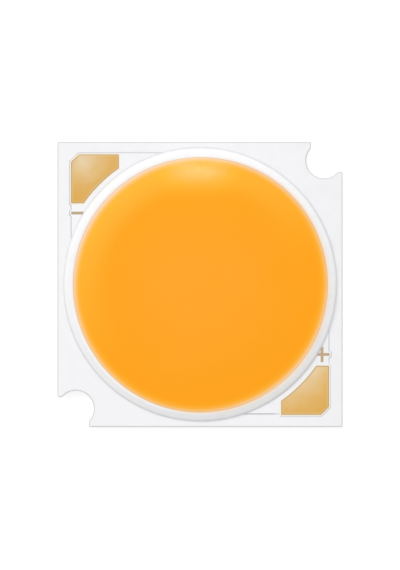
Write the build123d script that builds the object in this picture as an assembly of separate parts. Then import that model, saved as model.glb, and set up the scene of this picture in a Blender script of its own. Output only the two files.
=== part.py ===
from build123d import *
import math
import os

# Chip-on-board light source on a square aluminium-core board, in millimetres. The origin is the middle
# of the board's back face, +Z is the way the light leaves, and the cathode corner is at -X, +Y.

# Board outline and light-emitting surface
les_diameter = 17.0  # light-emitting surface, inside the dam's crest
les_margin = 1.0  # from the light-emitting surface to each board edge
notch_radius = 1.175  # screw notch at two opposite corners
notch_edge_space = 0.075  # notch's arc to the lines of both board edges
notch_lip_x = 0.325  # side of the open corner inside the arc, along X
notch_lip_y = 0.425  # the same along Y
notch_cusp_round = 0.12  # where the open corner meets the notch's arc

# Layers of the board, from the back
plate_thickness = 1.0  # aluminium core
back_edge_break = 0.06  # edge broken by the punch
dielectric_thickness = 0.10
copper_thickness = 0.07
mask_thickness = 0.03  # white ink, over laminate and copper alike
plating_thickness = 0.025  # gold over nickel in the ink's windows, just under the ink's face
mask_setback = 0.08  # ink kept back from the board's edge
ink_foot = 0.12  # sloped ink beside a trace, at its foot
ink_shoulder = 0.02  # the same ink at its top

# Solder pads and polarity marks, measured from the nearest board edges
pad_inset_x = 0.93
pad_inset_y = 0.84
pad_reach = 4.1  # far edges of the pad
pad_chamfer = 0.52  # outer corner of the pad
pad_dam_space = 0.33  # curved side of the pad to the dam
copper_margin = 0.05  # copper past a window in the ink
feeder_setback = 0.05  # feeder copper inside the pad's side edge
anode_feeder_setback = 0.11  # the same at the anode's end edge; the cathode's is flush with its pad copper
minus_pad_space = 0.65  # far edge of the cathode pad to the middle of the minus
plus_pad_space = 0.75  # far edge of the anode pad to the middle of the plus
mark_dam_space = 0.29  # dam to the middle of a mark, along the mark's row
mark_length = 1.02
mark_width = 0.19

# Silicone dam and phosphor fill
dam_width = 1.1
dam_height = 0.40  # crest above the raised ink
dam_wall = 0.06  # upright side of the bead above the raised ink
dam_crest_offset = 0.05  # crest outside the light-emitting surface
fill_rise = 0.30  # middle of the domed fill above its rim

# Conductors under the dam
bus_overrun = 9.0  # degrees of each copper arc past its last wire
feeder_angle = 75.0  # far end of the feeder, in degrees from the X axis
bus_clearance = 0.25  # edge of the laminate to the copper arc
bus_width = 0.40

# Chips and bond wires
string_count = 6
chips_per_string = 6
chip_length = 1.00  # along the string
chip_width = 1.00
chip_height = 0.15
chip_space = 0.47  # between chips in the shortest string
chip_dam_space = 0.45  # chip field to the dam
bond_inset = 0.06  # bond from the chip's edge
wire_thickness = 0.03
wire_loop = 0.15  # top of a wire above its higher bond
wire_lean = 0.08  # sideways run of a wire's steep leg

# Values worked out from the driving dimensions
board_side = les_diameter + 2 * les_margin
half_side = board_side / 2
notch_inset = notch_radius + notch_edge_space
notch_throat_x = notch_radius - notch_lip_x
notch_throat_y = notch_radius - notch_lip_y
les_radius = les_diameter / 2
plate_top = plate_thickness
dielectric_top = plate_top + dielectric_thickness
copper_top = dielectric_top + copper_thickness
mask_low = dielectric_top + mask_thickness
mask_high = copper_top + mask_thickness
plating_top = copper_top + plating_thickness
chip_top = plate_top + chip_height
dam_middle = les_radius + dam_crest_offset
dam_inner = dam_middle - dam_width / 2
dam_outer = dam_middle + dam_width / 2
dam_crest = mask_high + dam_height
dam_shoulder = mask_high + dam_wall
dam_bulge = dam_crest - dam_shoulder
dam_radius = ((dam_width / 2) ** 2 + dam_bulge**2) / (2 * dam_bulge)
fill_rim = dam_crest - dam_radius + math.sqrt(dam_radius**2 - dam_crest_offset**2)
fill_top = fill_rim + fill_rise
bus_inner = dam_inner + bus_clearance
bus_outer = bus_inner + bus_width
landing_radius = bus_inner + bus_width / 2
chip_field_radius = dam_inner - chip_dam_space
shortest_half = chips_per_string * (chip_length + chip_space) / 2
top_row = math.sqrt(chip_field_radius**2 - shortest_half**2)
bus_half_angle = math.degrees(math.asin(top_row / landing_radius)) + bus_overrun
half_turn = Rot(0, 0, 180)


def at_height(outline, bottom, top):
    """Flat outline made solid between two heights."""
    return extrude(Pos(0, 0, bottom) * outline, amount=top - bottom)


def notch_outline(growth):
    """Screw notch and its open mouth at the +X, +Y corner."""
    middle = half_side - notch_inset
    mouth_x = notch_inset + notch_throat_x + growth
    mouth_y = notch_inset + notch_throat_y + growth
    hole = Pos(middle, middle) * Circle(notch_radius + growth)
    mouth = Pos(half_side - mouth_x, half_side - mouth_y) * Rectangle(
        2 * mouth_x, 2 * mouth_y, align=(Align.MIN, Align.MIN)
    )
    return hole + mouth


def cusp_points():
    """Where the mouth's two sides meet the notch's arc."""
    middle = half_side - notch_inset
    return [
        (middle - notch_throat_x, middle + math.sqrt(notch_radius**2 - notch_throat_x**2)),
        (middle + math.sqrt(notch_radius**2 - notch_throat_y**2), middle - notch_throat_y),
    ]


def board_outline():
    """Square board with a notch at two opposite corners."""
    notch = notch_outline(0)
    outline = Rectangle(board_side, board_side) - notch - half_turn * notch
    cusps = []
    for x, y in cusp_points():
        cusps += outline.vertices().sort_by_distance((x, y, 0))[:1]
        cusps += outline.vertices().sort_by_distance((-x, -y, 0))[:1]
    return fillet(cusps, notch_cusp_round)


def mask_outline():
    """Edge of the white ink, set back from the board's edge."""
    side = board_side - 2 * mask_setback
    notch = notch_outline(mask_setback)
    return Rectangle(side, side) - notch - half_turn * notch


def wedge(start, end):
    """Sector between two angles in degrees, reaching past the board's corners."""
    spokes = 5
    points = [(0, 0)]
    for spoke in range(spokes):
        angle = math.radians(start + (end - start) * spoke / (spokes - 1))
        points.append((board_side * math.cos(angle), board_side * math.sin(angle)))
    return make_face(Polyline(*points, close=True))


def corner_block(inset_x, inset_y, reach):
    """Block facing the cathode corner, with that corner chamfered."""
    left = inset_x - half_side
    top = half_side - inset_y
    right = reach - half_side
    bottom = half_side - reach
    points = [
        (left, top - pad_chamfer),
        (left, bottom),
        (right, bottom),
        (right, top),
        (left + pad_chamfer, top),
    ]
    return make_face(Polyline(*points, close=True))


def pad_outline():
    """Solder pad at the cathode corner, curved along the dam."""
    block = corner_block(pad_inset_x, pad_inset_y, pad_reach)
    return block - Circle(dam_outer + pad_dam_space)


def mark_place(pad_space):
    """Middle of a mark at the cathode corner, below the pad and just outside the dam."""
    row = half_side - pad_reach - pad_space
    return Pos(-math.sqrt(dam_outer**2 - row**2) - mark_dam_space, row)


def minus_outline():
    """Minus sign beside the cathode pad."""
    return mark_place(minus_pad_space) * Rectangle(mark_length, mark_width)


def plus_outline():
    """Plus sign, drawn at the cathode corner before its half turn to the anode corner."""
    bars = Rectangle(mark_length, mark_width) + Rectangle(mark_width, mark_length)
    return mark_place(plus_pad_space) * bars


def bus_outline():
    """Arc of conductor under the dam, on the cathode side."""
    band = Circle(bus_outer) - Circle(bus_inner)
    return band & wedge(180 - bus_half_angle, 180 + bus_half_angle)


def feeder_outline(mark, end_setback):
    """Copper from the arc out to the pad and its mark, at the cathode corner."""
    block = corner_block(pad_inset_x + feeder_setback, pad_inset_y + end_setback, half_side)
    block = (block - Circle(bus_outer)) & wedge(180 - feeder_angle, 180)
    pad = offset(pad_outline(), amount=copper_margin, kind=Kind.INTERSECTION)
    return block + pad + offset(mark, amount=copper_margin)


def raised_ink(feeder):
    """Ink that runs up and over one feeder, with sloped sides."""
    foot = offset(feeder, amount=ink_foot)
    height = mask_high - dielectric_top
    slope = math.degrees(math.atan2(ink_foot - ink_shoulder, height))
    return extrude(Pos(0, 0, dielectric_top) * foot, amount=height, taper=slope)


def base_plate():
    """Aluminium core with its back edge broken."""
    plate = at_height(board_outline(), 0, plate_top)
    return chamfer(plate.faces().sort_by(Axis.Z)[0].edges(), back_edge_break)


def dielectric_layer():
    """Laminate on the plate, open under the chips."""
    return at_height(board_outline() - Circle(dam_inner), plate_top, dielectric_top)


def ink_envelope(feeders):
    """White ink and the copper under it, up to the bus."""
    envelope = at_height(mask_outline(), dielectric_top, mask_low)
    for feeder in feeders:
        envelope += raised_ink(feeder)
    return envelope - at_height(Circle(bus_outer), dielectric_top, mask_high)


def solder_mask(feeders, windows):
    """White ink over laminate and copper, with windows for what is plated."""
    ink = ink_envelope(feeders)
    for feeder in feeders:
        ink -= at_height(feeder, dielectric_top, copper_top)
    for window in windows:
        ink -= at_height(window, dielectric_top, mask_high)
    return ink


def dam_section():
    """Half section of the bead, in X and Z: round outside, and a straight slope under the fill."""
    top = ThreePointArc((les_radius, fill_rim), (dam_middle, dam_crest), (dam_outer, dam_shoulder))
    sides = Polyline(
        (dam_outer, dam_shoulder),
        (dam_outer, dielectric_top),
        (dam_inner, dielectric_top),
        (les_radius, fill_rim),
    )
    return make_face([top, sides])


def dam_ring(feeders, marks):
    """Bead dispensed over the bus and the ink's inner edge."""
    ground = ink_envelope(feeders)
    for mark in marks:
        ground -= at_height(mark, plating_top, mask_high)
    bus = at_height(bus_outline(), dielectric_top, plating_top)
    return spun(dam_section()) - (ground + bus + half_turn * bus)


def fill_section():
    """Half section of the phosphor fill, in X and Z: a low dome that ends at the bead's crest."""
    dome = TangentArc((0, fill_top), (les_radius, fill_rim), tangent=(1, 0))
    rest = Polyline(
        (0, fill_top),
        (0, plate_top),
        (dam_inner, plate_top),
        (dam_inner, dielectric_top),
        (les_radius, fill_rim),
    )
    return make_face([dome, rest])


def spun(section):
    """Half section turned about the light's axis."""
    return revolve(Plane.XZ * section, axis=Axis.Z)


def string_rows():
    """Height of each string above the X axis, top first."""
    return [top_row * (1 - 2 * row / (string_count - 1)) for row in range(string_count)]


def chip_middles(row):
    """Places of the chips along one string, spread over the field's width there."""
    half_chord = math.sqrt(chip_field_radius**2 - row**2)
    pitch = 2 * half_chord / chips_per_string
    return [pitch * (chip + 0.5) - half_chord for chip in range(chips_per_string)]


def chip_string(row):
    """One string of chips on the bare plate."""
    chip = Box(chip_length, chip_width, chip_height, align=(Align.CENTER, Align.CENTER, Align.MIN))
    return [Pos(x, row, plate_top) * chip for x in chip_middles(row)]


def bond_wire(row, start, end):
    """Wire that rises steeply from its first bond and slopes down to its second, given as X and Z."""
    (start_x, start_z), (end_x, end_z) = start, end
    apex = (start_x + wire_lean, max(start_z, end_z) + wire_loop)
    rise = math.atan2(apex[1] - start_z, apex[0] - start_x)
    fall = math.atan2(apex[1] - end_z, end_x - apex[0])
    inner_start = start_x + wire_thickness / math.sin(rise)
    inner_end = end_x - wire_thickness / math.sin(fall)
    rise_run = 1 / math.tan(rise)
    fall_run = 1 / math.tan(fall)
    inner_z = (inner_end - inner_start + start_z * rise_run + end_z * fall_run) / (rise_run + fall_run)
    inner_apex = (inner_start + (inner_z - start_z) * rise_run, inner_z)
    points = [start, apex, end, (inner_end, end_z), inner_apex, (inner_start, start_z)]
    side = Plane.XZ * make_face(Polyline(*points, close=True))
    return Pos(0, row, 0) * extrude(side, amount=wire_thickness / 2, both=True)


def string_wires(row):
    """Wires of one string, from the cathode strip through every chip to the anode strip."""
    landing = math.sqrt(landing_radius**2 - row**2)
    bond_run = chip_length / 2 - bond_inset
    bonds = [(-landing, plating_top)]
    for x in chip_middles(row):
        bonds += [(x - bond_run, chip_top), (x + bond_run, chip_top)]
    bonds.append((landing, plating_top))
    return [bond_wire(row, bonds[wire], bonds[wire + 1]) for wire in range(0, len(bonds), 2)]


def plated(outline):
    """Gold finish on the copper inside a window."""
    return at_height(outline, copper_top, plating_top)


def build():
    """All pieces by name."""
    feeders = {
        "cathode": feeder_outline(minus_outline(), -copper_margin),
        "anode": half_turn * feeder_outline(plus_outline(), anode_feeder_setback),
    }
    buses = {"cathode": bus_outline(), "anode": half_turn * bus_outline()}
    marks = {"minus_mark": minus_outline(), "plus_mark": half_turn * plus_outline()}
    windows = {"cathode_pad": pad_outline(), "anode_pad": half_turn * pad_outline(), **marks}

    pieces = {"base_plate": base_plate(), "dielectric_layer": dielectric_layer()}
    for pole, bus in buses.items():
        pieces[f"{pole}_trace"] = at_height(bus + feeders[pole], dielectric_top, copper_top)
        pieces[f"{pole}_bond_strip"] = plated(bus)
    for name, window in windows.items():
        pieces[name] = plated(window)
    pieces["solder_mask"] = solder_mask(list(feeders.values()), list(windows.values()))

    dam = dam_ring(list(feeders.values()), list(marks.values()))
    fill = spun(fill_section())
    strings = {}
    for number, row in enumerate(string_rows(), start=1):
        chips = chip_string(row)
        wires = string_wires(row)
        strings[f"chip_string_{number}"] = Compound(children=chips)
        strings[f"bond_wires_{number}"] = Compound(children=wires)
        fill = fill - chips - wires
        dam = dam - [wires[0], wires[-1]]
    pieces["dam_ring"] = dam
    pieces["phosphor_fill"] = fill
    pieces.update(strings)
    return pieces


os.makedirs("parts", exist_ok=True)
for name, piece in build().items():
    export_step(piece, f"parts/{name}.step")
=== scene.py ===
import math

import bpy
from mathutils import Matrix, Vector


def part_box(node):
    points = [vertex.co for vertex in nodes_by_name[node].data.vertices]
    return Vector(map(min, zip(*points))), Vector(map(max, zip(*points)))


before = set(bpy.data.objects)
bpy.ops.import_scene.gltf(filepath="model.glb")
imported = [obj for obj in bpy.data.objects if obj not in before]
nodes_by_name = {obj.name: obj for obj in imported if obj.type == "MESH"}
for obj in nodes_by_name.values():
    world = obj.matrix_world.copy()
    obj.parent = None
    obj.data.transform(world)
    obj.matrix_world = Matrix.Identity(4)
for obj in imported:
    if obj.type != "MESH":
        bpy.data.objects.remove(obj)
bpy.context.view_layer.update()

# Sizes that the materials follow, in millimetres, read from the frame's nodes
mm_per_metre = 1000.0
half_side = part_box("base_plate")[1].x * mm_per_metre
dam_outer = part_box("dam_ring")[1].x * mm_per_metre
les_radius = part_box("phosphor_fill")[1].x * mm_per_metre
pad_low, pad_high = [corner * mm_per_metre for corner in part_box("cathode_pad")]
# The cut at the pad's outer corner and the ink between bead and pad, which no node's box tells
pad_corner_cut = 0.52
pad_dam_space = 0.33
pad_inner_radius = dam_outer + pad_dam_space

# White ink: its colours, the bands in millimetres over which a shade comes in, and the shades' strengths
ink_dim = (0.855, 0.855, 0.872)
ink_plain = (0.895, 0.895, 0.911)
ink_bright = (0.920, 0.920, 0.932)
ink_on_slope = (0.50, 0.50, 0.52)
# Painted contact shade at the bead
ink_painted_contact_shade = (0.70, 0.70, 0.71)
# Painted warm reflection of the gold
ink_painted_gold_reflection = (0.94, 0.81, 0.58)
# Painted shade that darkens the ink towards the right
ink_painted_shade_from_x = 4.0
ink_painted_shade_share = 0.35
slope_facing = (0.98, 0.60)
slope_off_pad = (-0.50, -0.30)
slope_bottom_band = (-0.09, 0.06)
slope_beside_share = 0.25
slope_right_band = (-0.12, 0.03)
slope_right_share = 0.60
bead_shade_width = 0.10
bead_shade_share = 0.80
# Bands and strengths of the gold's painted reflection on the ink
gold_reflection_band = (-0.14, -0.01)
gold_reflection_share = 0.90
gold_reflection_top_band = (0.06, -0.04)
gold_reflection_above = 0.2
gold_reflection_at_bead = 0.15
gold_reflection_bead_width = 0.08

# White silicone bead: lengths in millimetres, and the stain's lean as shares of x and y
bead_grey = (0.905, 0.906, 0.908)
bead_white = (0.925, 0.925, 0.925)
# Painted shade at the bead's foot
bead_painted_foot_shade = (0.77, 0.77, 0.78)
bead_stain = (0.92, 0.72, 0.54)
bead_scatter_metres = 0.0006
# Band of the painted shade at the bead's foot
painted_foot_shade_band = (-0.14, -0.03)
stain_lean = (1.0, -0.3)
stain_span = (-1.5, 4.0)
stain_widths = (0.01, 0.20)
crest_band = (0.09, 0.32)
crest_lift = 0.05
ripple_height = 0.0035

# Phosphor fill: lengths in millimetres, and leans as shares of x and y.
# The rim's tones follow the distance from the fill's edge, plus rim_offset.
fill_centre = (1.0, 0.366, 0.015)
fill_outer = (1.0, 0.362, 0.003)
fill_grain = (1.0, 0.43, 0.03)
# The next colour is painted light, added in a belt inside the rim
fill_painted_light = (0.0, 0.105, 0.03)
fill_seam = (0.85, 0.82, 0.80)
bead_lap = (0.94, 0.93, 0.92)
fill_tone_radii = (2.0, 7.5)
lap_lean = (-1.0, 0.6)
lap_span = (-1.5, 4.0)
lap_width = 0.034
lap_band = (0.015, -0.015)
seam_inset = 0.045
seam_band = (0.05, 0.01)
# Where the belt of painted light lies
belt_lean = (-0.5, 1.0)
belt_span = (-2.0, 9.4)
belt_inner_band = (2.7, 0.8)
belt_outer_band = (0.15, 0.75)
rim_at_pads = 0.085
rim_lean = (-1.0, 1.0)
rim_span = (-3.0, 8.5)
rim_at_upper_left = 0.112
rim_inner_band = (0.5, 0.85)
rim_offset = 0.24
rim_tones = [
    (0.09, (0.95, 0.75, 0.60)),
    (0.20, (0.955, 0.655, 0.43)),
    (0.27, (0.96, 0.597, 0.302)),
    (0.34, (0.965, 0.547, 0.194)),
    (0.41, (0.97, 0.503, 0.112)),
    (0.47, (0.98, 0.455, 0.058)),
    (0.54, (0.99, 0.430, 0.033)),
    (0.61, (1.0, 0.409, 0.020)),
    (0.74, (1.0, 0.382, 0.006)),
    (1.00, (1.0, 0.364, 0.003)),
]

# Gold: tones of a painted highlight from its palest spot outwards, bands inside a pad's outline in
# millimetres, and for each piece the painted highlight's palest spot with the distances from it where the
# tones start and end
gold_highlight_tones = [
    (0.0, (0.84, 0.66, 0.42)),
    (0.30, (0.80, 0.55, 0.25)),
    (0.6, (0.775, 0.465, 0.14)),
    (1.0, (0.75, 0.42, 0.09)),
]
gold_grain = (0.60, 0.40, 0.16)
gold_border = (0.80, 0.58, 0.32)
# The next colour and its bands are painted shade at the window's edge
gold_painted_edge_shade = (0.36, 0.27, 0.14)
gold_border_band = (0.18, 0.05)
gold_border_share = 0.60
gold_edge_shade_band = (0.09, 0.02)
gold_edge_shade_share = 0.76
gold_edge_shade_share_at_top = 0.30
gold_top_band = (-0.26, -0.06)
cathode_shading = {"highlight_spot": (-7.8, 8.3), "start": 0.17, "reach": 2.96}
anode_shading = {"highlight_spot": (5.0, -4.0), "start": 2.83, "reach": 5.66}
strip_shading = {"highlight_spot": (0.0, 0.0), "start": 0.0, "reach": 20.0}

# Punched side: height of the line between the torn lower band and the bright upper one, in millimetres
torn_band_top = 0.42
torn_band_full = 0.30
torn_band_wander = 0.14

# Stage: floor in metres, light levels, and lamps by direction, distance and size in metres.
# A lamp's share is the part of a plain light level that it gives a face turned to it.
floor_reach = 0.6
floor_height = -0.00002
floor_paint = (0.86, 0.86, 0.86, 1.0)
floor_glow = 0.56
world_level = 0.633
white = (1.0, 1.0, 1.0)
warm_yellow = (1.0, 0.75, 0.05)
lamp_distance = 0.90
card_distance = 0.24
key_lamp = {
    "direction": (-0.52, 0.34, 0.78),
    "distance": lamp_distance,
    "size": (0.42, 0.42),
    "share": 0.22,
}
top_lamp = {
    "direction": (0.0, 0.66, 0.75),
    "distance": lamp_distance,
    "size": (0.60, 0.60),
    "share": 0.32,
}
white_card = {
    "direction": (-0.002, 0.1718, 0.98),
    "distance": card_distance,
    "size": (0.020, 0.0009),
    "share": 0.0041,
}
warm_card = {
    "direction": (-0.002, 0.1640, 0.98),
    "distance": card_distance,
    "size": (0.028, 0.0086),
    "share": 0.0063,
}

# Picture: height in pixels, scale at the ink's face and how far the board lies off the picture's middle
picture_height = 570
pixels_per_mm = 15.04
middle_offset_px = (0.03, 0.5)
face_height_mm = 1.2
camera_lens = 250.0
sensor_mm = 36.0
clip_metres = (0.01, 5.0)


class Graph:
    """Short ways to add shader nodes to one material."""

    def __init__(self, name):
        self.material = bpy.data.materials.new(name)
        self.material.use_nodes = True
        self.tree = self.material.node_tree
        self.shader = self.tree.nodes["Principled BSDF"]

    def add(self, kind, **settings):
        node = self.tree.nodes.new(kind)
        for key, value in settings.items():
            setattr(node, key, value)
        return node

    def feed(self, socket, value):
        """Links a socket or sets a constant."""
        if hasattr(value, "is_output"):
            self.tree.links.new(value, socket)
        else:
            socket.default_value = value

    def set(self, **values):
        """Shader inputs by name, with underscores for spaces."""
        for name, value in values.items():
            self.feed(self.shader.inputs[name.replace("_", " ")], value)

    def math(self, operation, first, second=0.0, clamp=False):
        node = self.add("ShaderNodeMath", operation=operation, use_clamp=clamp)
        for socket, value in zip(node.inputs, (first, second)):
            self.feed(socket, value)
        return node.outputs[0]

    def plus(self, first, second):
        return self.math("ADD", first, second)

    def minus(self, first, second):
        return self.math("SUBTRACT", first, second)

    def times(self, first, second):
        return self.math("MULTIPLY", first, second)

    def place(self):
        """Object coordinates in millimetres."""
        coordinates = self.add("ShaderNodeTexCoord")
        scaled = self.add("ShaderNodeVectorMath", operation="SCALE")
        self.tree.links.new(coordinates.outputs["Object"], scaled.inputs[0])
        scaled.inputs["Scale"].default_value = mm_per_metre
        return scaled.outputs[0]

    def split(self, vector):
        node = self.add("ShaderNodeSeparateXYZ")
        self.tree.links.new(vector, node.inputs[0])
        return node.outputs

    def stretched(self, vector, scale):
        node = self.add("ShaderNodeMapping")
        self.tree.links.new(vector, node.inputs["Vector"])
        node.inputs["Scale"].default_value = scale
        return node.outputs[0]

    def noise(self, vector, scale, detail=2.0, roughness=0.5):
        node = self.add("ShaderNodeTexNoise")
        self.tree.links.new(vector, node.inputs["Vector"])
        node.inputs["Scale"].default_value = scale
        node.inputs["Detail"].default_value = detail
        node.inputs["Roughness"].default_value = roughness
        return node.outputs["Fac"]

    def ramp(self, value, stops):
        """Colour ramp from (place, (r, g, b)) stops."""
        node = self.add("ShaderNodeValToRGB")
        elements = node.color_ramp.elements
        while len(elements) < len(stops):
            elements.new(1.0)
        for element, (place, colour) in zip(elements, stops):
            element.position = place
            element.color = (*colour, 1.0)
        self.feed(node.inputs["Fac"], value)
        return node.outputs["Color"]

    def tones(self, noise, dark, pale, span=(0.3, 0.7)):
        """A noise as two colours; span is the part of its range between them."""
        return self.ramp(noise, [(span[0], dark), (span[1], pale)])

    def spread(self, value, low, high, to_low=0.0, to_high=1.0, smooth=False):
        """Maps low..high to to_low..to_high and holds the ends."""
        node = self.add("ShaderNodeMapRange")
        node.interpolation_type = "SMOOTHSTEP" if smooth else "LINEAR"
        names = ("From Min", "From Max", "To Min", "To Max")
        for name, number in zip(names, (low, high, to_low, to_high)):
            node.inputs[name].default_value = number
        self.feed(node.inputs["Value"], value)
        return node.outputs["Result"]

    def vary(self, noise, least, most, span=(0.2, 0.8)):
        """A noise as a number from least to most; span is the part of its range that is used."""
        return self.spread(noise, span[0], span[1], least, most)

    def mix(self, factor, first, second, blend="MIX"):
        node = self.add("ShaderNodeMix", data_type="RGBA", blend_type=blend)
        self.feed(node.inputs["Factor"], factor)
        for name, value in (("A", first), ("B", second)):
            socket = [s for s in node.inputs if s.name == name and s.type == "RGBA"][0]
            self.feed(socket, value if hasattr(value, "is_output") else (*value, 1.0))
        return [s for s in node.outputs if s.type == "RGBA"][0]

    def bump(self, height, strength, distance_mm):
        node = self.add("ShaderNodeBump")
        node.inputs["Strength"].default_value = strength
        node.inputs["Distance"].default_value = distance_mm / mm_per_metre
        self.tree.links.new(height, node.inputs["Height"])
        self.tree.links.new(node.outputs[0], self.shader.inputs["Normal"])

    def radius(self, axes):
        squares = self.plus(self.math("POWER", axes[0], 2.0), self.math("POWER", axes[1], 2.0))
        return self.math("SQRT", squares)

    def toward(self, axes, x_share, y_share):
        """How far a point lies along a direction on the board, from shares of x and y."""
        return self.plus(self.times(axes[0], x_share), self.times(axes[1], y_share))

    def facing_up(self):
        """How far the surface faces +Z."""
        geometry = self.add("ShaderNodeNewGeometry")
        return self.split(geometry.outputs["Normal"])[2]

    def pad_distance(self, axes, side):
        """Distance inside a pad's outline; side is 1 for the cathode pad and -1 for the anode pad."""
        x = self.times(axes[0], side)
        y = self.times(axes[1], side)
        cut = (pad_high.y - pad_low.x - pad_corner_cut) / math.sqrt(2)
        rising = self.times(self.minus(y, x), 1 / math.sqrt(2))
        distances = [
            self.minus(x, pad_low.x),
            self.minus(pad_high.y, y),
            self.minus(pad_high.x, x),
            self.minus(y, pad_low.y),
            self.minus(cut, rising),
            self.minus(self.radius(axes), pad_inner_radius),
        ]
        nearest = distances[0]
        for distance in distances[1:]:
            nearest = self.math("MINIMUM", nearest, distance)
        return nearest


def band_at(edge, band):
    """Both ends of a band that is given from an edge."""
    return [edge + offset for offset in band]


def white_ink():
    """Satin white ink: painted shade to the right, grey on slopes, a painted warm reflection beside the
    gold.
    """
    g = Graph("white_ink")
    place = g.place()
    axes = g.split(place)
    radius = g.radius(axes)
    anode_side = g.pad_distance(axes, -1)
    mottle = g.noise(place, scale=0.9, detail=3.0)
    # Painted shade: the ink is darker towards the right, on top of its mottle
    mottle_and_painted_shade = g.minus(mottle, g.spread(axes[0], ink_painted_shade_from_x, half_side, 0.0, ink_painted_shade_share))
    colour = g.ramp(mottle_and_painted_shade, [(0.0, ink_dim), (0.5, ink_plain), (1.0, ink_bright)])

    # Slopes are grey, but not below the anode pad, and less so beside it and along the right edge
    slope = g.spread(g.facing_up(), *slope_facing, smooth=True)
    apart = g.spread(anode_side, *slope_off_pad, 1.0, 0.0)
    beside = g.spread(axes[1], *band_at(-pad_high.y, slope_bottom_band), 0.0, slope_beside_share)
    rightmost = g.spread(axes[0], *band_at(-pad_low.x, slope_right_band), 1.0, slope_right_share)
    slope_greyness = g.math("MINIMUM", g.math("MAXIMUM", apart, beside), rightmost)
    colour = g.mix(g.times(slope, slope_greyness), colour, ink_on_slope)

    # Painted contact shade along the upper half of the bead
    painted_shade_at_bead = g.spread(radius, dam_outer + bead_shade_width, dam_outer, smooth=True)
    upward = g.spread(axes[1], 0.0, half_side, 0.0, bead_shade_share)
    colour = g.mix(g.times(painted_shade_at_bead, upward), colour, ink_painted_contact_shade)

    # Painted warm reflection of the gold beside the pads, but hardly above them or between the anode pad
    # and the bead
    bead_side = pad_inner_radius - gold_reflection_bead_width
    off_bead = g.spread(radius, bead_side, pad_inner_radius, gold_reflection_at_bead, gold_reflection_share)
    cathode_side = g.pad_distance(axes, 1)
    pads = ((cathode_side, pad_high.y, gold_reflection_share), (anode_side, -pad_low.y, off_bead))
    for inside, upper_edge, share in pads:
        near = g.spread(inside, *gold_reflection_band, smooth=True)
        under = g.spread(axes[1], *band_at(upper_edge, gold_reflection_top_band), gold_reflection_above, 1.0)
        colour = g.mix(g.times(g.times(near, under), share), colour, ink_painted_gold_reflection)

    peel = g.noise(place, scale=7.0, detail=3.0, roughness=0.6)
    g.set(Base_Color=colour, Roughness=g.vary(mottle, 0.36, 0.50), IOR=1.5)
    g.bump(peel, strength=0.25, distance_mm=0.004)
    return g.material


def white_silicone():
    """Glossy bead, a little translucent and wavy, stained where the fill creeps up it, with painted shade
    at its foot.
    """
    g = Graph("white_silicone")
    place = g.place()
    axes = g.split(place)
    radius = g.radius(axes)
    wave = g.noise(place, scale=0.8)
    colour = g.tones(wave, bead_grey, bead_white)
    # Painted shade: a grey band at the bead's foot, just inside its outer edge
    painted_foot_mask = g.spread(radius, *band_at(dam_outer, painted_foot_shade_band), smooth=True)
    colour = g.mix(painted_foot_mask, colour, bead_painted_foot_shade)
    reach = g.spread(g.toward(axes, *stain_lean), *stain_span, *stain_widths)
    outward = g.math("DIVIDE", g.minus(radius, les_radius), reach)
    colour = g.mix(g.math("SUBTRACT", 1.0, outward, clamp=True), colour, bead_stain)
    g.set(
        Base_Color=colour,
        Roughness=g.vary(wave, 0.24, 0.34, span=(0.25, 0.75)),
        IOR=1.43,
        Subsurface_Weight=0.06,
        Subsurface_Radius=(bead_scatter_metres, bead_scatter_metres, bead_scatter_metres),
        Subsurface_Scale=1.0,
    )
    crest = g.spread(radius, *band_at(les_radius, crest_band), crest_lift, 0.0)
    ripple = g.times(g.noise(place, scale=1.6), ripple_height)
    g.bump(g.plus(crest, ripple), strength=1.0, distance_mm=1.0)
    return g.material


def phosphor_silicone():
    """Orange phosphor in glossy silicone: paler where it thins out towards the bead, with fine grains and
    a belt of painted light.
    """
    g = Graph("phosphor_silicone")
    place = g.place()
    axes = g.split(place)
    radius = g.radius(axes)
    drift = g.noise(place, scale=0.35)
    grains = g.noise(place, scale=26.0, roughness=0.7)
    outward = g.plus(g.spread(radius, *fill_tone_radii), g.vary(drift, -0.2, 0.2))
    middle = g.ramp(outward, [(0.0, fill_centre), (1.0, fill_outer)])
    middle = g.mix(g.vary(grains, 0.0, 0.08, span=(0.35, 0.75)), middle, fill_grain)

    # The bead's skin laps over the fill on the left, so the fill's edge lies further in there
    lap = g.spread(g.toward(axes, *lap_lean), *lap_span, 0.0, lap_width)
    edge = g.minus(g.minus(les_radius, lap), radius)

    # The pale rim is wider towards the upper left, and at both corners with pads
    diagonal = g.spread(g.times(axes[0], axes[1]), -les_radius**2 / 2, 0.0, rim_at_pads, 0.0)
    corner = g.spread(g.toward(axes, *rim_lean), *rim_span, 0.0, rim_at_upper_left)
    inward = g.minus(g.minus(edge, diagonal), corner)
    rim = g.ramp(g.plus(inward, rim_offset), rim_tones)
    colour = g.mix(g.spread(inward, *rim_inner_band, 1.0, 0.0, smooth=True), middle, rim)

    # Painted light: a yellower belt inside the rim, strongest at the upper left, as if lit on the fill's
    # shoulder
    lean = g.spread(g.toward(axes, *belt_lean), *belt_span)
    painted_light_band = g.times(g.spread(edge, *belt_inner_band, smooth=True), g.spread(edge, *belt_outer_band))
    colour = g.mix(g.times(lean, painted_light_band), colour, fill_painted_light, "ADD")

    # Fine dark seam at the edge, and the bead's skin outside it
    off_seam = g.math("ABSOLUTE", g.minus(edge, seam_inset))
    colour = g.mix(g.spread(off_seam, *seam_band, smooth=True), colour, fill_seam, "MULTIPLY")
    colour = g.mix(g.spread(edge, *lap_band), colour, bead_lap)
    g.set(Base_Color=colour, Roughness=g.vary(drift, 0.058, 0.068), IOR=1.40, Specular_IOR_Level=0.22)
    g.bump(grains, strength=0.03, distance_mm=0.002)
    return g.material


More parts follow.
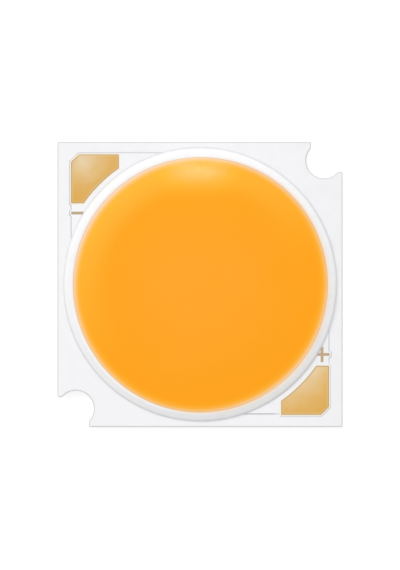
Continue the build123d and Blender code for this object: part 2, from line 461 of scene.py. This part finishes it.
def gold_plating(name, side, highlight_spot, start, reach):
    """Satin gold over nickel, with a painted highlight: palest at one spot, deeper in tone with the
    distance from it.

    On a pad, where side is 1 or -1, it is paler along the border, and painted shade darkens it at the
    window's edge.
    """
    g = Graph(name)
    place = g.place()
    axes = g.split(place)
    # Painted highlight: palest at one spot, deeper in tone further from it, with a random cloud
    away = [g.minus(axes[index], highlight_spot[index]) for index in (0, 1)]
    cloud = g.noise(place, scale=1.3)
    depth = g.plus(g.spread(g.radius(away), start, reach), g.vary(cloud, -0.10, 0.10))
    colour = g.ramp(depth, gold_highlight_tones)
    grain = g.noise(place, scale=34.0, detail=3.0, roughness=0.7)
    colour = g.mix(g.vary(grain, 0.0, 0.16, span=(0.3, 0.8)), colour, gold_grain)
    if side:
        inside = g.pad_distance(axes, side)
        border = g.spread(inside, *gold_border_band, 0.0, gold_border_share, smooth=True)
        colour = g.mix(border, colour, gold_border)
        # Painted shade: a dark line at the window's edge, fainter along the upper pad's top edge
        edge = g.spread(inside, *gold_edge_shade_band, smooth=True)
        at_top = band_at(pad_high.y, gold_top_band)
        edge_shade_strength = g.spread(axes[1], *at_top, gold_edge_shade_share, gold_edge_shade_share_at_top)
        colour = g.mix(g.times(edge, edge_shade_strength), colour, gold_painted_edge_shade)
    g.set(Base_Color=colour, Metallic=1.0, Roughness=g.vary(grain, 0.32, 0.46))
    g.bump(grain, strength=0.12, distance_mm=0.003)
    return g.material


def mark_gold():
    """The same plating on the small polarity marks, duller."""
    g = Graph("mark_gold")
    grain = g.noise(g.place(), scale=30.0, detail=3.0, roughness=0.7)
    colour = g.tones(grain, (0.50, 0.38, 0.23), (0.59, 0.45, 0.28))
    g.set(Base_Color=colour, Metallic=1.0, Roughness=0.45)
    g.bump(grain, strength=0.12, distance_mm=0.003)
    return g.material


def laminate():
    """Pale grey filled epoxy, seen as a thin line round the board."""
    g = Graph("laminate")
    filler = g.noise(g.place(), scale=18.0, detail=3.0, roughness=0.7)
    colour = g.tones(filler, (0.66, 0.66, 0.67), (0.76, 0.76, 0.765))
    g.set(Base_Color=colour, Roughness=0.62)
    g.bump(filler, strength=0.2, distance_mm=0.004)
    return g.material


def core_aluminium():
    """Rolled sheet: brushed back, and punched sides with a bright upper band above a torn lower one."""
    g = Graph("core_aluminium")
    place = g.place()
    axes = g.split(place)
    rolled = g.noise(g.stretched(place, (0.25, 9.0, 9.0)), scale=3.0, detail=4.0, roughness=0.65)
    upright = g.noise(g.stretched(place, (9.0, 9.0, 0.5)), scale=2.2, detail=4.0, roughness=0.65)
    torn = g.noise(place, scale=9.0, detail=5.0, roughness=0.7)
    side = g.spread(g.math("ABSOLUTE", g.facing_up()), 0.9, 0.3)
    border = g.noise(g.stretched(place, (1.0, 1.0, 0.0)), scale=1.4, detail=3.0)
    wander = g.vary(border, -torn_band_wander, torn_band_wander)
    low = g.spread(g.plus(axes[2], wander), torn_band_top, torn_band_full)
    rough_band = g.times(side, low)
    flat = g.tones(rolled, (0.50, 0.51, 0.52), (0.62, 0.625, 0.63))
    cut = g.tones(upright, (0.40, 0.41, 0.42), (0.56, 0.565, 0.57))
    burst = g.tones(torn, (0.27, 0.275, 0.28), (0.42, 0.425, 0.43))
    colour = g.mix(side, flat, cut)
    colour = g.mix(rough_band, colour, burst)
    roughness = g.plus(g.vary(rolled, 0.28, 0.40), g.times(rough_band, 0.22))
    height = g.plus(g.times(rolled, 0.4), g.times(rough_band, torn))
    g.set(Base_Color=colour, Metallic=1.0, Roughness=roughness)
    g.bump(height, strength=0.35, distance_mm=0.01)
    return g.material


def copper():
    """Etched foil."""
    g = Graph("copper")
    grain = g.noise(g.place(), scale=14.0, detail=3.0, roughness=0.6)
    colour = g.tones(grain, (0.66, 0.34, 0.20), (0.80, 0.46, 0.29))
    g.set(Base_Color=colour, Metallic=1.0, Roughness=0.42)
    g.bump(grain, strength=0.15, distance_mm=0.003)
    return g.material


def chip():
    """Blue-grey sapphire, a little mottled."""
    g = Graph("chip")
    speckle = g.noise(g.place(), scale=11.0)
    colour = g.tones(speckle, (0.36, 0.46, 0.58), (0.52, 0.62, 0.72), span=(0.35, 0.65))
    g.set(Base_Color=colour, Roughness=g.vary(speckle, 0.10, 0.20), IOR=1.77)
    return g.material


def gold_wire():
    """Drawn gold."""
    g = Graph("gold_wire")
    drawn = g.noise(g.stretched(g.place(), (2.0, 40.0, 40.0)), scale=3.0)
    colour = g.tones(drawn, (0.80, 0.56, 0.20), (0.92, 0.70, 0.32))
    g.set(Base_Color=colour, Metallic=1.0, Roughness=0.22)
    return g.material


def dress(material, *names):
    """Gives CAD nodes their material."""
    for name in names:
        mesh = nodes_by_name[name].data
        mesh.materials.clear()
        mesh.materials.append(material)


def numbered(start):
    """The names of the nodes of a numbered row."""
    return [name for name in nodes_by_name if name.startswith(start)]


dress(core_aluminium(), "base_plate")
dress(laminate(), "dielectric_layer")
dress(copper(), "cathode_trace", "anode_trace")
dress(white_ink(), "solder_mask")
dress(gold_plating("cathode_gold", 1, **cathode_shading), "cathode_pad")
dress(gold_plating("anode_gold", -1, **anode_shading), "anode_pad")
dress(gold_plating("strip_gold", 0, **strip_shading), "cathode_bond_strip", "anode_bond_strip")
dress(mark_gold(), "minus_mark", "plus_mark")
dress(white_silicone(), "dam_ring")
dress(phosphor_silicone(), "phosphor_fill")
dress(chip(), *numbered("chip_string_"))
dress(gold_wire(), *numbered("bond_wires_"))


def seen_rays(tree):
    """1 for rays that show a thing to the camera, straight, mirrored or through a clear piece, else 0."""
    paths = tree.nodes.new("ShaderNodeLightPath")
    seen = paths.outputs["Is Camera Ray"]
    for name in ("Is Glossy Ray", "Is Transmission Ray"):
        either = tree.nodes.new("ShaderNodeMath")
        either.operation = "MAXIMUM"
        tree.links.new(seen, either.inputs[0])
        tree.links.new(paths.outputs[name], either.inputs[1])
        seen = either.outputs[0]
    return seen


def floor_white():
    """Paint that takes the shadow, lifted to white by a glow where it is seen, and clear from below."""
    material = bpy.data.materials.new("floor_white")
    material.use_nodes = True
    tree = material.node_tree
    tree.nodes.clear()
    output = tree.nodes.new("ShaderNodeOutputMaterial")
    paint = tree.nodes.new("ShaderNodeBsdfDiffuse")
    paint.inputs["Color"].default_value = floor_paint
    lift = tree.nodes.new("ShaderNodeMath")
    lift.operation = "MULTIPLY"
    lift.inputs[1].default_value = floor_glow
    tree.links.new(seen_rays(tree), lift.inputs[0])
    glow = tree.nodes.new("ShaderNodeEmission")
    tree.links.new(lift.outputs[0], glow.inputs["Strength"])
    both = tree.nodes.new("ShaderNodeAddShader")
    tree.links.new(paint.outputs[0], both.inputs[0])
    tree.links.new(glow.outputs[0], both.inputs[1])
    clear = tree.nodes.new("ShaderNodeBsdfTransparent")
    geometry = tree.nodes.new("ShaderNodeNewGeometry")
    sides = tree.nodes.new("ShaderNodeMixShader")
    tree.links.new(geometry.outputs["Backfacing"], sides.inputs[0])
    tree.links.new(both.outputs[0], sides.inputs[1])
    tree.links.new(clear.outputs[0], sides.inputs[2])
    tree.links.new(sides.outputs[0], output.inputs["Surface"])
    return material


def stage_floor():
    """Square sheet just under the part."""
    mesh = bpy.data.meshes.new("floor")
    square = ((-1, -1), (1, -1), (1, 1), (-1, 1))
    corners = [(x * floor_reach, y * floor_reach, floor_height) for x, y in square]
    mesh.from_pydata(corners, [], [(0, 1, 2, 3)])
    mesh.materials.append(floor_white())
    floor = bpy.data.objects.new("floor", mesh)
    bpy.context.scene.collection.objects.link(floor)


def world_light():
    """Even white surroundings, seen as full white and lighting the part a little less."""
    world = bpy.data.worlds.new("surroundings")
    bpy.context.scene.world = world
    world.use_nodes = True
    tree = world.node_tree
    background = tree.nodes["Background"]
    background.inputs["Color"].default_value = (*white, 1.0)
    level = tree.nodes.new("ShaderNodeMapRange")
    level.inputs["To Min"].default_value = world_level
    level.inputs["To Max"].default_value = 1.0
    tree.links.new(seen_rays(tree), level.inputs["Value"])
    tree.links.new(level.outputs["Result"], background.inputs["Strength"])


def softbox(name, direction, distance, size, share):
    """Area light aimed at the board."""
    data = bpy.data.lights.new(name, "AREA")
    data.shape = "ELLIPSE"
    data.size, data.size_y = size
    data.energy = math.pi**2 * distance**2 * share
    lamp = bpy.data.objects.new(name, data)
    bpy.context.scene.collection.objects.link(lamp)
    towards = Vector(direction).normalized()
    lamp.location = towards * distance
    lamp.rotation_mode = "QUATERNION"
    lamp.rotation_quaternion = towards.to_track_quat("Z", "Y")
    lamp.visible_camera = False
    return lamp


def node_set(name, members):
    """Collection of CAD nodes that a lamp's light linking can name."""
    collection = bpy.data.collections.new(name)
    for member in members:
        collection.objects.link(nodes_by_name[member])
    return collection


def studio_lights():
    """Soft lights from the left and the top, and two small cards that show only as gloss on the fill."""
    key = softbox("key", **key_lamp)
    key.visible_glossy = False
    top = softbox("top", **top_lamp)
    top.visible_glossy = False
    # The photo has a shadow to the right of the bead but none below it, so the top light ignores the bead
    casting = [name for name in nodes_by_name if name != "dam_ring"]
    top.light_linking.blocker_collection = node_set("casting", casting)
    glossed = node_set("glossed", ["phosphor_fill"])
    for name, lamp, tint in (("white_card", white_card, white), ("warm_card", warm_card, warm_yellow)):
        card = softbox(name, **lamp)
        card.data.color = tint
        card.visible_diffuse = False
        card.light_linking.receiver_collection = glossed


def photo_camera():
    """Looks straight down, with the board where the photo has it."""
    data = bpy.data.cameras.new("camera")
    data.lens = camera_lens
    data.sensor_width = sensor_mm
    data.clip_start, data.clip_end = clip_metres
    seen_mm = picture_height / pixels_per_mm
    distance_mm = seen_mm * camera_lens / sensor_mm
    shift_x, shift_y = [-offset / pixels_per_mm for offset in middle_offset_px]
    camera = bpy.data.objects.new("camera", data)
    bpy.context.scene.collection.objects.link(camera)
    camera.location = Vector((shift_x, shift_y, distance_mm + face_height_mm)) / mm_per_metre
    bpy.context.scene.camera = camera


stage_floor()
world_light()
studio_lights()
photo_camera()
bpy.context.scene.view_settings.view_transform = "Standard"
